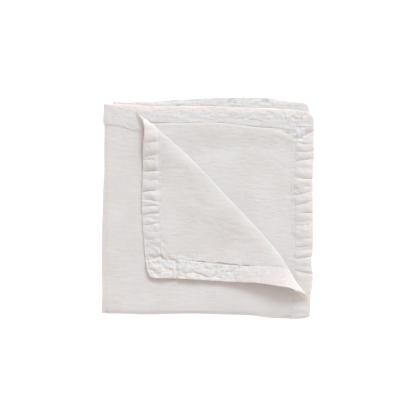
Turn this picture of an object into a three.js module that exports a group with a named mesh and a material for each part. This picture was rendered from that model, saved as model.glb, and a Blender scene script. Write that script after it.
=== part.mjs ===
// A linen table runner with a gathered frill sewn round it, folded into a square with one corner turned back.
// Sizes are in millimetres. +Z is up, the ends of the runner lie towards +Y and its long edges towards +X.
// The cloth is described flat, by how far across and along it a point is, and one function folds every point.
import * as THREE from "three";

// The runner as sewn, after washing
const RUNNER_WIDTH = 500;
const RUNNER_LENGTH = 1480;
const FRILL_WIDTH = 21;
const SEAM_GAP = 0.4;
const CLOTH_THICKNESS = 1;
const CLOTH_COLOUR = 0xded7d2;

// The folding: once lengthwise, then back and forth in legs that lie on each other
const LEGS = 6;
const LAYER_GAP = 0.4;
const SIDE = RUNNER_WIDTH / 2;
const LAYER_PITCH = CLOTH_THICKNESS + LAYER_GAP;
const EDGE_FOLD_RADIUS = LAYER_PITCH / 2;
const TURN_RADIUS = LAYER_PITCH;
const TURN_REACH = TURN_RADIUS + EDGE_FOLD_RADIUS + CLOTH_THICKNESS / 2;
const LAST_END_Y = 253;
const CORNER_RADIUS = 10;

// How finely the curved places are divided
const EDGE_FOLD_STEPS = 5;
const TURN_STEPS = 6;
const FLAT_STEPS = 3;
const ROLL_STEPS = 9;
const TOP_STEPS = 12;
const HIDDEN_STEPS = 5;
const HIDDEN_ROWS = 4;
const FLAP_STEP = 15;
const PLEAT_STEP = 2.3;
const PLAIN_STEP = 9;
const PLEATED_STRETCH = 50;
const LAST_END_PLEAT_STEP = 3.7;
const SEAM_MARGIN = FLAP_STEP / 3;
const NORMAL_STEP = 0.01;
const TINY = 1e-6;
const HALVINGS = 50;

// The turned-back corner. Each row is a line square to the diagonal crease, at its distance along the crease
// from the middle. start is where the cloth leaves the flat, crest is where the roll reaches furthest,
// reach is how much of its length the slack flap shows, and settle is how far it runs before it lies down.
const CREASE = [
  { along: -177, start: 208, crest: 203.0, radius: 5.0, reach: 0.4, settle: 40 },
  { along: -163, start: 208, crest: 202.0, radius: 4.0, reach: 0.4, settle: 42 },
  { along: -148, start: 206, crest: 200.2, radius: 2.9, reach: 0.4, settle: 45 },
  { along: -138, start: 208, crest: 198.2, radius: 4.0, reach: 0.4, settle: 46 },
  { along: -131, start: 211, crest: 198.6, radius: 5.0, reach: 0.45, settle: 47 },
  { along: -125, start: 211, crest: 199.9, radius: 5.2, reach: 0.6, settle: 48 },
  { along: -112, start: 207, crest: 201.6, radius: 4.8, reach: 0.84, settle: 50 },
  { along: -96, start: 204, crest: 202.6, radius: 4.2, reach: 0.87, settle: 52 },
  { along: -63, start: 202, crest: 204.4, radius: 3.3, reach: 0.93, settle: 55 },
  { along: -37, start: 201.6, crest: 204.6, radius: 3.0, reach: 0.935, settle: 58 },
  { along: 0, start: 200.5, crest: 203.3, radius: 2.8, reach: 0.92, settle: 64 },
  { along: 40, start: 199.5, crest: 202.3, radius: 3.0, reach: 0.94, settle: 70 },
  { along: 70, start: 199, crest: 201.2, radius: 3.4, reach: 0.97, settle: 78 },
  { along: 100, start: 198, crest: 198.8, radius: 4.3, reach: 1.0, settle: 92 },
  { along: 117, start: 195, crest: 195.4, radius: 5.1, reach: 0.96, settle: 102 },
  { along: 127, start: 192.5, crest: 192.8, radius: 5.7, reach: 0.9, settle: 108 },
  { along: 137, start: 190, crest: 190.2, radius: 6.2, reach: 0.7, settle: 112 },
  { along: 148, start: 188, crest: 189.4, radius: 6.4, reach: 0.6, settle: 115 },
  { along: 158, start: 187.5, crest: 189.2, radius: 6.3, reach: 0.6, settle: 115 },
  { along: 177, start: 187.5, crest: 188.0, radius: 6.0, reach: 0.6, settle: 115 },
];

// The far corner of the flap lies a little further along the crease than it would if folded square
const CORNER_SWAY = { shift: 8, over: 132, power: 4 };

// How the edges wander in plan: at is the place along the edge, shift is the move across it
const LEFT_FOLD_WANDER = [
  { at: 0, shift: -1 },
  { at: 15, shift: -0.2 },
  { at: 36, shift: -0.2 },
  { at: 60, shift: -0.8 },
  { at: 93, shift: -1 },
  { at: 135, shift: -0.1 },
  { at: 147, shift: 0.2 },
  { at: 170, shift: 1.5 },
  { at: 194, shift: 1.2 },
  { at: 218, shift: 1.7 },
  { at: 227, shift: 1.6 },
  { at: 230, shift: 1 },
  { at: 260, shift: 0.8 },
];
const BOTTOM_FOLD_WANDER = [
  { at: 0, shift: -0.8 },
  { at: 24, shift: -1.4 },
  { at: 48, shift: -2.2 },
  { at: 72, shift: -1.9 },
  { at: 96, shift: -1.3 },
  { at: 120, shift: -1.6 },
  { at: 144, shift: -2.4 },
  { at: 168, shift: -2.9 },
  { at: 180, shift: -3.8 },
  { at: 192, shift: -5.3 },
  { at: 204, shift: -6.5 },
  { at: 228, shift: -7.3 },
  { at: 240, shift: -7.1 },
  { at: 245, shift: -5.7 },
  { at: 250, shift: -3.6 },
];
const SECOND_LEAF_END = [
  { at: 0, shift: 0 },
  { at: 35, shift: -1 },
  { at: 62, shift: -3 },
  { at: 133, shift: -3 },
  { at: 175, shift: -5 },
  { at: 211, shift: -6.5 },
  { at: 232, shift: -8 },
  { at: 250, shift: -10 },
];
const SECOND_LEAF_SIDE = [
  { at: 0, shift: 0 },
  { at: 12, shift: -0.2 },
  { at: 20, shift: -0.9 },
  { at: 34, shift: 1.4 },
  { at: 48, shift: 1.5 },
  { at: 56, shift: 0 },
  { at: 66, shift: -0.2 },
  { at: 77, shift: 1.2 },
  { at: 106, shift: 1.2 },
  { at: 142, shift: 0.7 },
  { at: 149, shift: 0 },
  { at: 156, shift: 0.3 },
  { at: 178, shift: 1.4 },
  { at: 192, shift: 2.6 },
  { at: 213, shift: 1.9 },
  { at: 225, shift: 2.6 },
  { at: 250, shift: 2 },
];
const LAST_END_WANDER = [
  { at: 0, shift: 0.4 },
  { at: 16, shift: -0.6 },
  { at: 40, shift: 0.2 },
  { at: 62, shift: 1 },
  { at: 80, shift: 2.3 },
  { at: 104, shift: 3.4 },
  { at: 128, shift: 4.8 },
  { at: 160, shift: 5.2 },
  { at: 184, shift: 5.4 },
  { at: 200, shift: 4.6 },
  { at: 212, shift: 2.4 },
  { at: 224, shift: 0.8 },
  { at: 236, shift: 0 },
  { at: 250, shift: 0 },
];
const TURN_END_WANDER = [
  { at: 0, shift: 0 },
  { at: 195, shift: 0 },
  { at: 218, shift: -2 },
  { at: 236, shift: -5 },
  { at: 250, shift: -9 },
];
const LEG_DRIFT = [
  { at: 0, shift: 0 },
  { at: 250, shift: 0 },
  { at: 500, shift: 1.3 },
  { at: 750, shift: -1.2 },
  { at: 1000, shift: 1 },
  { at: 1250, shift: -0.6 },
  { at: 1480, shift: 0 },
];
const LAST_LEG_DRAW = { left: 10.5, right: -3 };
const BOTTOM_CORNER = { draw: 2.6, power: 12 };
const WANDER_FADE = 85;
const END_FADE_POWER = 4;
const SIDE_FADE_POWER = 6;

// Gathers along each frill: at is the place along the edge, height is how high the pleats stand
const PLEAT_PITCH = 9.2;
const PLEAT_RISE_SHARE = 0.35;
const PLEAT_DRIFTS = [
  { amount: 0.3, rate: 0.113, start: 0 },
  { amount: 0.22, rate: 0.047, start: 1.3 },
];
const PLEAT_FOOT = { depth: 0.93, opening: 0.5 };
const FRILL_DEPTHS = [0, 0.5, PLEAT_FOOT.depth, 1];
const FLAP_END_PLEATS = [
  { at: 0, height: 0 },
  { at: 84, height: 0 },
  { at: 104, height: 1.3 },
  { at: 130, height: 2.1 },
  { at: 236, height: 2.1 },
  { at: 250, height: 1.5 },
];
const SECOND_END_PLEATS = [
  { at: 0, height: 0 },
  { at: 50, height: 0 },
  { at: 80, height: 0.5 },
  { at: 200, height: 0.6 },
  { at: 225, height: 1.7 },
  { at: 250, height: 1.7 },
];
const FLAP_SIDE_PLEATS = [
  { at: 0, height: 1.5 },
  { at: 140, height: 1.5 },
  { at: 172, height: 0.6 },
  { at: 188, height: 0 },
  { at: 250, height: 0 },
];
const SECOND_SIDE_PLEATS = [
  { at: 0, height: 1.7 },
  { at: 175, height: 1.9 },
  { at: 196, height: 0.8 },
  { at: 206, height: 0 },
  { at: 250, height: 0 },
];
const LAST_END_PLEAT_HEIGHT = 1.2;
const LAST_END_CLEAR_Y = 247.5;
const LAST_END_CLEAR_RISE = 5;

// The value of one column of a table between its rows, on a smooth curve through them
function valueAt(table, key, place, column) {
  const last = table.length - 1;
  if (place <= table[0][key]) return table[0][column];
  if (place >= table[last][key]) return table[last][column];
  let i = 0;
  while (table[i + 1][key] < place) i++;
  const slope = (j) => {
    const a = table[Math.max(j - 1, 0)];
    const b = table[Math.min(j + 1, last)];
    return (b[column] - a[column]) / (b[key] - a[key]);
  };
  const width = table[i + 1][key] - table[i][key];
  const t = (place - table[i][key]) / width;
  const rise = table[i + 1][column] - table[i][column];
  const into = slope(i) * width;
  const out = slope(i + 1) * width;
  const bend = t * (1 - t) * ((1 - t) * (into - rise) - t * (out - rise));
  return table[i][column] + rise * t + bend;
}

const shiftAt = (table, place) => valueAt(table, "at", place, "shift");
const heightAt = (table, place) => valueAt(table, "at", place, "height");
const smoothStep = (t) => THREE.MathUtils.smoothstep(t, 0, 1);

// The legs of the back-and-forth fold: where each starts along the cloth, which way it runs and how high it is
function legsOf() {
  const first = SIDE - TURN_REACH;
  const last = LAST_END_Y - TURN_REACH;
  const turn = Math.PI * TURN_RADIUS;
  const inner = (RUNNER_LENGTH - first - last - turn * (LEGS - 1)) / (LEGS - 2);
  const lowest = CLOTH_THICKNESS / 2 + EDGE_FOLD_RADIUS;
  const legs = [];
  let start = 0;
  for (let i = 0; i < LEGS; i++) {
    const heading = i % 2 ? 1 : -1;
    const length = i === 0 ? first : i === LEGS - 1 ? last : inner;
    const fromY = i === 0 ? SIDE : heading > 0 ? TURN_REACH : TURN_REACH + inner;
    const z = lowest + 2 * LAYER_PITCH * (LEGS - 1 - i);
    legs.push({ number: i, start, length, heading, fromY, z });
    start += length + turn;
  }
  return legs;
}

const FOLD_LEGS = legsOf();
const TOP_LEAF_Z = FOLD_LEGS[0].z + EDGE_FOLD_RADIUS;

// The lengthwise fold: how far a point lies from the folded edge and which side of the pair's middle it is on
function acrossFold(across) {
  if (Math.abs(across) >= EDGE_FOLD_RADIUS) {
    return { x: Math.abs(across), side: Math.sign(across) * EDGE_FOLD_RADIUS };
  }
  const angle = ((across / EDGE_FOLD_RADIUS) * Math.PI) / 2;
  return { x: EDGE_FOLD_RADIUS * (1 - Math.cos(angle)), side: EDGE_FOLD_RADIUS * Math.sin(angle) };
}

// The back-and-forth fold: the place of a point of the doubled cloth, by its distance along it
function alongFold(along, side) {
  const leg = FOLD_LEGS.findLast((l) => along >= l.start) ?? FOLD_LEGS[0];
  const travelled = along - leg.start;
  const outward = -leg.heading * side;
  if (travelled <= leg.length || leg.number === LEGS - 1) {
    return { leg, y: leg.fromY + leg.heading * travelled, z: leg.z + outward };
  }
  const angle = (travelled - leg.length) / TURN_RADIUS;
  const radius = TURN_RADIUS + outward;
  const endY = leg.fromY + leg.heading * leg.length;
  return {
    leg,
    y: endY + leg.heading * radius * Math.sin(angle),
    z: leg.z - TURN_RADIUS + radius * Math.cos(angle),
  };
}

// The crease's sizes on the line square to it at a distance along it
function creaseAt(along) {
  const row = {};
  for (const column of ["start", "crest", "radius", "reach", "settle"]) {
    row[column] = valueAt(CREASE, "along", along, column);
  }
  return row;
}

// The top leaf, with its corner rolled over the diagonal crease and laid back on it
function onTopLeaf(x, y) {
  const along = (x - y) * Math.SQRT1_2;
  const out = (x + y) * Math.SQRT1_2;
  const { start, crest, radius, reach, settle } = creaseAt(along);
  const foot = crest - radius;
  const edge = Math.abs(along);
  const angle = (out - start) / radius;
  let newOut;
  let sway = 0;
  let z = TOP_LEAF_Z;
  if (angle <= 0) {
    newOut = out - (start - foot) * ((out - edge) / (start - edge)) ** 2;
  } else if (angle <= Math.PI) {
    newOut = foot + radius * Math.sin(angle);
    z += radius * (1 - Math.cos(angle));
  } else {
    const back = (out - start - Math.PI * radius) * reach;
    newOut = foot - back;
    sway = CORNER_SWAY.shift * (back / CORNER_SWAY.over) ** CORNER_SWAY.power;
    z += LAYER_PITCH + (2 * radius - LAYER_PITCH) * (1 - smoothStep(back / settle));
  }
  const newAlong = along + sway;
  return new THREE.Vector3((newOut + newAlong) * Math.SQRT1_2, (newOut - newAlong) * Math.SQRT1_2, z);
}

// The small wanderings of the folded edges, most at the edge and gone a little way inside
function wander(point, along) {
  const fadeX = Math.max(0, 1 - point.x / WANDER_FADE) ** 2;
  const fadeY = Math.max(0, 1 - point.y / WANDER_FADE) ** 2;
  point.x += shiftAt(LEFT_FOLD_WANDER, point.y) * fadeX + shiftAt(LEG_DRIFT, along);
  point.x -= BOTTOM_CORNER.draw * (point.x / SIDE) ** BOTTOM_CORNER.power * fadeY;
  point.y += shiftAt(BOTTOM_FOLD_WANDER, point.x) * fadeY;
  return point;
}

// Folds the flat runner: across is from the lengthwise fold, along is from the end that lies on top
function place(across, along) {
  const { x, side } = acrossFold(across);
  const { leg, y, z } = alongFold(along, side);
  const onFirst = leg.number === 0 && along <= leg.length;
  if (onFirst && across > EDGE_FOLD_RADIUS) return wander(onTopLeaf(x, y), along);
  const point = new THREE.Vector3(x, y, z);
  const endFade = Math.max(0, y / SIDE) ** END_FADE_POWER;
  if (onFirst) {
    point.x += shiftAt(SECOND_LEAF_SIDE, y) * (x / SIDE) ** SIDE_FADE_POWER;
    point.y += shiftAt(SECOND_LEAF_END, x) * endFade;
  } else if (leg.number === LEGS - 1) {
    point.x += THREE.MathUtils.lerp(LAST_LEG_DRAW.left, LAST_LEG_DRAW.right, x / SIDE) * endFade;
    point.y += shiftAt(LAST_END_WANDER, x) * endFade;
  } else {
    point.y += shiftAt(TURN_END_WANDER, x) * endFade;
  }
  return wander(point, along);
}

// A gathered pleat: a quick rise and a slow fall, spaced a little unevenly
function pleat(distance) {
  let phase = distance / PLEAT_PITCH;
  for (const { amount, rate, start } of PLEAT_DRIFTS) phase += amount * Math.sin(distance * rate + start);
  const part = phase - Math.floor(phase);
  const turn =
    part < PLEAT_RISE_SHARE ? part / PLEAT_RISE_SHARE : (1 - part) / (1 - PLEAT_RISE_SHARE);
  return Math.sin((turn * Math.PI) / 2) ** 2;
}

// How far the pleats open at a distance from the free edge: fully there, less at their foot, none at the seam
function pleatOpening(fromFreeEdge) {
  const depth = fromFreeEdge / (FRILL_WIDTH - SEAM_GAP);
  if (depth < PLEAT_FOOT.depth) return THREE.MathUtils.lerp(1, PLEAT_FOOT.opening, depth / PLEAT_FOOT.depth);
  return PLEAT_FOOT.opening * Math.max(0, (1 - depth) / (1 - PLEAT_FOOT.depth));
}

// The frills as folded, with their pleats standing up
function placeEndFrill(across, along) {
  const point = place(across, along);
  const table = across > 0 ? FLAP_END_PLEATS : SECOND_END_PLEATS;
  point.z += heightAt(table, Math.abs(across)) * pleat(Math.abs(across)) * pleatOpening(along);
  return point;
}

function placeSideFrill(across, along) {
  const point = place(across, along);
  if (along > SIDE) return point;
  const table = across > 0 ? FLAP_SIDE_PLEATS : SECOND_SIDE_PLEATS;
  point.z += heightAt(table, along) * pleat(along) * pleatOpening(SIDE - Math.abs(across));
  return point;
}

function placeLastFrill(across, along) {
  const point = place(across, along);
  const clear = smoothStep((point.y - LAST_END_CLEAR_Y) / LAST_END_CLEAR_RISE);
  point.z += LAST_END_PLEAT_HEIGHT * pleat(Math.abs(across)) * clear;
  return point;
}

// A sheet under construction: its points in the flat cloth, each once, and the triangles between them
class Sheet {
  constructor(fold) {
    this.fold = fold;
    this.points = [];
    this.numbers = new Map();
    this.triangles = [];
  }

  point(across, along) {
    const key = `${across.toFixed(4)} ${along.toFixed(4)}`;
    if (!this.numbers.has(key)) {
      this.numbers.set(key, this.points.length);
      this.points.push({ across, along });
    }
    return this.numbers.get(key);
  }

  // A triangle is kept with one winding in the flat cloth, and a flat sliver is left out
  triangle(a, b, c) {
    const [p, q, r] = [a, b, c].map((n) => this.points[n]);
    const area =
      (q.across - p.across) * (r.along - p.along) - (r.across - p.across) * (q.along - p.along);
    if (Math.abs(area) < TINY) return;
    this.triangles.push(area > 0 ? [a, b, c] : [a, c, b]);
  }

  // Joins two rows of points, whatever their numbers, stepping along whichever is behind
  join(rowA, rowB, measure) {
    const at = (row, i) => measure(this.points[row[i]]);
    let i = 0;
    let j = 0;
    while (i < rowA.length - 1 || j < rowB.length - 1) {
      const stepA =
        j === rowB.length - 1 ||
        (i < rowA.length - 1 && at(rowA, i + 1) + at(rowA, i) <= at(rowB, j + 1) + at(rowB, j));
      if (stepA) this.triangle(rowA[i], rowA[++i], rowB[j]);
      else this.triangle(rowA[i], rowB[++j], rowB[j - 1]);
    }
  }

  joinAll(rows, measure) {
    rows.slice(1).forEach((row, i) => this.join(rows[i], row, measure));
  }

  normal(across, along) {
    const e = this.fold(across + NORMAL_STEP, along).sub(this.fold(across - NORMAL_STEP, along));
    const n = this.fold(across, along + NORMAL_STEP).sub(this.fold(across, along - NORMAL_STEP));
    return e.cross(n).normalize();
  }

  // The closed solid: the sheet's two faces, half a thickness off its middle, and a rim round every edge
  solid(thickness) {
    const positions = [];
    for (const side of [1, -1]) {
      for (const { across, along } of this.points) {
        const offset = this.normal(across, along).multiplyScalar((side * thickness) / 2);
        positions.push(...this.fold(across, along).add(offset).toArray());
      }
    }
    const count = this.points.length;
    const edges = new Set();
    for (const [a, b, c] of this.triangles) for (const e of [[a, b], [b, c], [c, a]]) edges.add(`${e}`);
    const index = [];
    for (const [a, b, c] of this.triangles) {
      index.push(a, b, c, count + a, count + c, count + b);
      for (const [from, to] of [[a, b], [b, c], [c, a]]) {
        if (edges.has(`${[to, from]}`)) continue;
        index.push(from, count + from, count + to, from, count + to, to);
      }
    }
    const geometry = new THREE.BufferGeometry();
    geometry.setAttribute("position", new THREE.Float32BufferAttribute(positions, 3));
    geometry.setIndex(index);
    geometry.computeVertexNormals();
    return geometry;
  }
}

// Evenly spaced values from one end to the other, no further apart than the step
function spaced(from, to, step) {
  const count = Math.max(1, Math.ceil(Math.abs(to - from) / step - TINY));
  return Array.from({ length: count + 1 }, (_, i) => THREE.MathUtils.lerp(from, to, i / count));
}

const acrossOf = (p) => p.across;
const alongOf = (p) => p.along;

// The places along the cloth from one to another, fine in the turns and as given in the legs
function alongPlaces(from, to, rowsInLeg) {
  const places = [from];
  for (const leg of FOLD_LEGS) {
    const end = leg.start + leg.length;
    const turnEnd = end + Math.PI * TURN_RADIUS;
    if (leg.number > 0) places.push(...spaced(leg.start, Math.min(end, to), leg.length / rowsInLeg));
    if (leg.number < LEGS - 1) places.push(...spaced(end, turnEnd, (Math.PI * TURN_RADIUS) / TURN_STEPS));
  }
  return [...new Set(places.map((p) => +p.toFixed(4)))].filter((p) => p >= from && p <= to);
}

// The places across the cloth in the lengthwise fold, and across both leaves of the hidden layers
const foldPlaces = spaced(-EDGE_FOLD_RADIUS, EDGE_FOLD_RADIUS, (2 * EDGE_FOLD_RADIUS) / EDGE_FOLD_STEPS);

function bothLeaves(leafPlaces) {
  return [...leafPlaces.map((x) => -x).reverse(), ...foldPlaces.slice(1, -1), ...leafPlaces];
}

const PANEL_EDGE = SIDE - FRILL_WIDTH;
const hiddenPlaces = spaced(EDGE_FOLD_RADIUS, PANEL_EDGE, (PANEL_EDGE - EDGE_FOLD_RADIUS) / HIDDEN_STEPS);

// The places up and across the leaves where the rows of their flat part start and end
const leafShares = spaced(0, 1, 1 / TOP_STEPS);
const leafColumns = leafShares.map((f) => THREE.MathUtils.lerp(EDGE_FOLD_RADIUS, PANEL_EDGE, f));
const leafRows = leafShares.map((f) => THREE.MathUtils.lerp(TURN_REACH, PANEL_EDGE, f));

// The flat part of the top leaf, in rows of points across its lower left corner
function cornerRows() {
  return leafShares.map((_, i) =>
    Array.from({ length: i + 1 }, (_, k) => ({
      x: THREE.MathUtils.lerp(EDGE_FOLD_RADIUS, leafColumns[i], k / Math.max(i, 1)),
      y: THREE.MathUtils.lerp(leafRows[i], TURN_REACH, k / Math.max(i, 1)),
    })),
  );
}

// How far along the crease a line beside it runs before it meets the panel's seam
function seamMeeting(outAt, heading) {
  let near = 0;
  let far = heading * SIDE;
  for (let i = 0; i < HALVINGS; i++) {
    const middle = (near + far) / 2;
    const reach = (outAt(middle) + Math.abs(middle)) * Math.SQRT1_2;
    if (reach < PANEL_EDGE) near = middle;
    else far = middle;
  }
  return near;
}

// The rest of the top leaf, in rows that turn into the crease, go round its roll and run down the flap
function creaseRows() {
  const middle = ((EDGE_FOLD_RADIUS + TURN_REACH + 2 * PANEL_EDGE) * Math.SQRT1_2) / 2;
  const corner = PANEL_EDGE * Math.SQRT2;
  const foot = (s) => creaseAt(s).start + creaseAt(s).radius * Math.PI;
  const ways = [];
  for (const f of spaced(0, 1, 1 / FLAT_STEPS).slice(1)) {
    ways.push((s) => THREE.MathUtils.lerp(middle, creaseAt(s).start, f));
  }
  for (const f of spaced(0, 1, 1 / ROLL_STEPS).slice(1)) {
    ways.push((s) => THREE.MathUtils.lerp(creaseAt(s).start, foot(s), f));
  }
  for (const f of spaced(0, 1, FLAP_STEP / (corner - foot(0))).slice(1, -1)) {
    ways.push((s) => foot(s) + f * (corner - foot(0)));
  }
  const rows = ways.map((outAt) => {
    const low = seamMeeting(outAt, -1);
    const high = seamMeeting(outAt, 1);
    const inside = spaced(-SIDE, SIDE, FLAP_STEP).filter(
      (s) => s > low + SEAM_MARGIN && s < high - SEAM_MARGIN,
    );
    return [
      { x: (outAt(low) + low) * Math.SQRT1_2, y: PANEL_EDGE },
      ...inside.map((s) => ({ x: (outAt(s) + s) * Math.SQRT1_2, y: (outAt(s) - s) * Math.SQRT1_2 })),
      { x: PANEL_EDGE, y: (outAt(high) - high) * Math.SQRT1_2 },
    ];
  });
  return [...rows, [{ x: PANEL_EDGE, y: PANEL_EDGE }]];
}

const rowsByCrease = creaseRows();
const FIRST_END = FOLD_LEGS[0].start + FOLD_LEGS[0].length;

// The linen panel
function panel() {
  const sheet = new Sheet(place);
  const topRows = [...cornerRows(), ...rowsByCrease];
  sheet.joinAll(
    topRows.map((row) => row.map(({ x, y }) => sheet.point(x, SIDE - y))),
    (p) => p.across + p.along,
  );
  const rowAt = (list, along) => list.map((across) => sheet.point(across, along));
  const whole = bothLeaves(leafColumns);
  const underLeaf = whole.filter((across) => across <= EDGE_FOLD_RADIUS);
  sheet.joinAll(
    [...leafRows].reverse().map((y) => rowAt(underLeaf, SIDE - y)),
    acrossOf,
  );
  const hidden = bothLeaves(hiddenPlaces);
  const places = alongPlaces(FIRST_END, RUNNER_LENGTH - FRILL_WIDTH, HIDDEN_ROWS);
  sheet.joinAll(
    places.map((along, i) => rowAt(i === 0 ? whole : hidden, along)),
    acrossOf,
  );
  return sheet.solid(CLOTH_THICKNESS);
}

// Places across a side frill, from its seam to its free edge
const sideFrillPlaces = FRILL_DEPTHS.map((f) => SIDE - f * (FRILL_WIDTH - SEAM_GAP)).reverse();

// How deep the rounded corner of a frill cuts in at a distance from the lengthwise fold
function cornerCut(across) {
  const into = Math.abs(across) - (SIDE - CORNER_RADIUS);
  return into > 0 ? CORNER_RADIUS - Math.sqrt(CORNER_RADIUS ** 2 - into ** 2) : 0;
}

// A frill across one end of the runner, round the lengthwise fold and out to both rounded corners.
// Its free edge has the fine places of the pleats and its seam has the places of what it is sewn to.
function endFrill(fold, outerAlong, inward, freePlaces, seamPlaces) {
  const sheet = new Sheet(fold);
  const rows = FRILL_DEPTHS.map((f) =>
    (f === 1 ? seamPlaces : freePlaces).map((across) => {
      const depth = THREE.MathUtils.lerp(cornerCut(across), FRILL_WIDTH - SEAM_GAP, f);
      return sheet.point(across, outerAlong + inward * depth);
    }),
  );
  sheet.joinAll(rows, acrossOf);
  return sheet.solid(CLOTH_THICKNESS);
}

function firstEndFrill() {
  const plainFrom = SIDE - PLEATED_STRETCH;
  const underFold = spaced(-SIDE, -plainFrom, PLEAT_STEP);
  const plain = spaced(-plainFrom, -EDGE_FOLD_RADIUS, PLAIN_STEP).slice(1, -1);
  const overFold = spaced(EDGE_FOLD_RADIUS, SIDE, PLEAT_STEP);
  const freePlaces = [...underFold, ...plain, ...foldPlaces.slice(0, -1), ...overFold];
  const seamPlaces = [
    ...bothLeaves([...leafColumns, ...sideFrillPlaces]).filter((across) => across <= EDGE_FOLD_RADIUS),
    ...rowsByCrease.map((row) => row[0].x),
    ...sideFrillPlaces,
  ];
  return endFrill(placeEndFrill, 0, 1, freePlaces, seamPlaces);
}

function lastEndFrill() {
  const freePlaces = bothLeaves(spaced(EDGE_FOLD_RADIUS, SIDE, LAST_END_PLEAT_STEP));
  const seamPlaces = bothLeaves([...hiddenPlaces, ...sideFrillPlaces]);
  return endFrill(placeLastFrill, RUNNER_LENGTH, -1, freePlaces, seamPlaces);
}

// A frill along one long edge, through every leg of the fold
function sideFrill(sign, seamHeights) {
  const sheet = new Sheet(placeSideFrill);
  const from = FRILL_WIDTH + SEAM_GAP;
  const later = alongPlaces(FIRST_END, RUNNER_LENGTH - FRILL_WIDTH - SEAM_GAP, HIDDEN_ROWS).slice(1);
  const seam = seamHeights.map((y) => SIDE - y).filter((along) => along > from && along < FIRST_END);
  const seamAlongs = [from, ...seam.sort((a, b) => a - b), FIRST_END, ...later];
  const freeAlongs = [...spaced(from, FIRST_END, PLEAT_STEP), ...later];
  const rows = sideFrillPlaces.map((across, i) =>
    (i === 0 ? seamAlongs : freeAlongs).map((along) => sheet.point(sign * across, along)),
  );
  sheet.joinAll(rows, alongOf);
  return sheet.solid(CLOTH_THICKNESS);
}

const flapSideFrill = () => sideFrill(1, rowsByCrease.map((row) => row.at(-1).y));
const underSideFrill = () => sideFrill(-1, leafRows);

function linen(name, geometry) {
  const material = new THREE.MeshStandardMaterial({
    color: CLOTH_COLOUR,
    roughness: 0.92,
    metalness: 0,
  });
  const mesh = new THREE.Mesh(geometry, material);
  mesh.name = name;
  return mesh;
}

const bundle = new THREE.Group();
bundle.add(
  linen("linen_panel", panel()),
  linen("frill_first_end", firstEndFrill()),
  linen("frill_flap_side", flapSideFrill()),
  linen("frill_under_side", underSideFrill()),
  linen("frill_last_end", lastEndFrill()),
);

// The origin is the middle of the bundle's foot
const box = new THREE.Box3().setFromObject(bundle);
const middle = box.getCenter(new THREE.Vector3());
bundle.position.set(-middle.x, -middle.y, -box.min.z);

const runner = new THREE.Group();
runner.add(bundle);

export default runner;
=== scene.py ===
import math

import bpy
import numpy as np
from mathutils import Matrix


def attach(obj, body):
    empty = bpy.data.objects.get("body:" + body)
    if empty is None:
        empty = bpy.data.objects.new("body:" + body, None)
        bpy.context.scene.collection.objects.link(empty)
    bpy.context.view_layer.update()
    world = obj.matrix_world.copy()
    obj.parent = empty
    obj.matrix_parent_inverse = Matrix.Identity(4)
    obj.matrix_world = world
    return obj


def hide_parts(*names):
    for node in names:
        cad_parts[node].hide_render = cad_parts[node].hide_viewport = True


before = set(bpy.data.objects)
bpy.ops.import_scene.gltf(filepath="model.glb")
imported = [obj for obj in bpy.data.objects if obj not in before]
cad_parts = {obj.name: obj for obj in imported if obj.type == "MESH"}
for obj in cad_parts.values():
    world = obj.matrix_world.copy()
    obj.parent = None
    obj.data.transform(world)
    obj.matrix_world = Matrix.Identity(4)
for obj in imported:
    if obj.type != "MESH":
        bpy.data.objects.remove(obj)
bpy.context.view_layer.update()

bl_info = {
    "name": "Folded table runner",
    "version": (1, 0, 0),
    "blender": (4, 5, 0),
    "location": "3D View > Sidebar > Runner",
    "description": "A frilled linen table runner, folded into a square with one corner turned back",
    "category": "Add Mesh",
}

# The cloth is described flat, in millimetres: how far across it a point is from the lengthwise fold, and how
# far along it from the end that lies on top. One function folds every point. Meshes are made in metres.
METRE = 0.001

# The runner as sewn. The side frills stop this gap short of the end frills, and every frill was cut longer
# than the edge it is gathered to
RUNNER_WIDTH = 500
RUNNER_LENGTH = 1480
FRILL_WIDTH = 21
CLOSE_GAP = 0.1

# The middle of the folded bundle, which stands over the origin
BUNDLE_MIDDLE = (125.017, 125.726)

# The folding: once lengthwise, then back and forth in legs that lie on each other
LEGS = 6
LAYER_PITCH = 1.4
SIDE = RUNNER_WIDTH / 2
PANEL_EDGE = SIDE - FRILL_WIDTH
EDGE_FOLD_RADIUS = LAYER_PITCH / 2
TURN_RADIUS = LAYER_PITCH
SOLID_THICKNESS = 1
TURN_REACH = TURN_RADIUS + EDGE_FOLD_RADIUS + SOLID_THICKNESS / 2
LAST_END_Y = 253
CORNER_RADIUS = 10

# How finely the cloth is divided. NORMAL_STEP is the step that finds which way the cloth faces, TINY is less
# than any size here, and edges of up to SMOOTH_ANGLE degrees are shaded smooth
TOP_STEP = 1.75
HIDDEN_STEP = 8
EDGE_FOLD_STEPS = 8
TURN_STEPS = 10
FRILL_STEP = 0.8
HIDDEN_FRILL_STEP = 2.4
FRILL_ROWS = 22
TUCK_ROWS = 7
NORMAL_STEP = 0.01
PLACE_DECIMALS = 6
TINY = 1e-6
SMOOTH_ANGLE = 60

# The noise that makes the cloth uneven: the size of its lattice, and a seed for each use of it
NOISE_LATTICE = 97
SEED = {
    "first": 11, "second": 21, "flap": 31, "hidden": 41, "pucker": 51, "corner": 61, "flap end": 65,
    "second end": 66, "end crumples": 71, "flap side": 85, "second side": 86, "side crumples": 91,
    "hidden flap": 101, "hidden second": 111, "hidden edge": 121, "last end": 141, "last crumples": 145,
    "seam": 151, "end seam": 161, "side pinches": 171, "end pinches": 181, "last pinches": 191,
}

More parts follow.
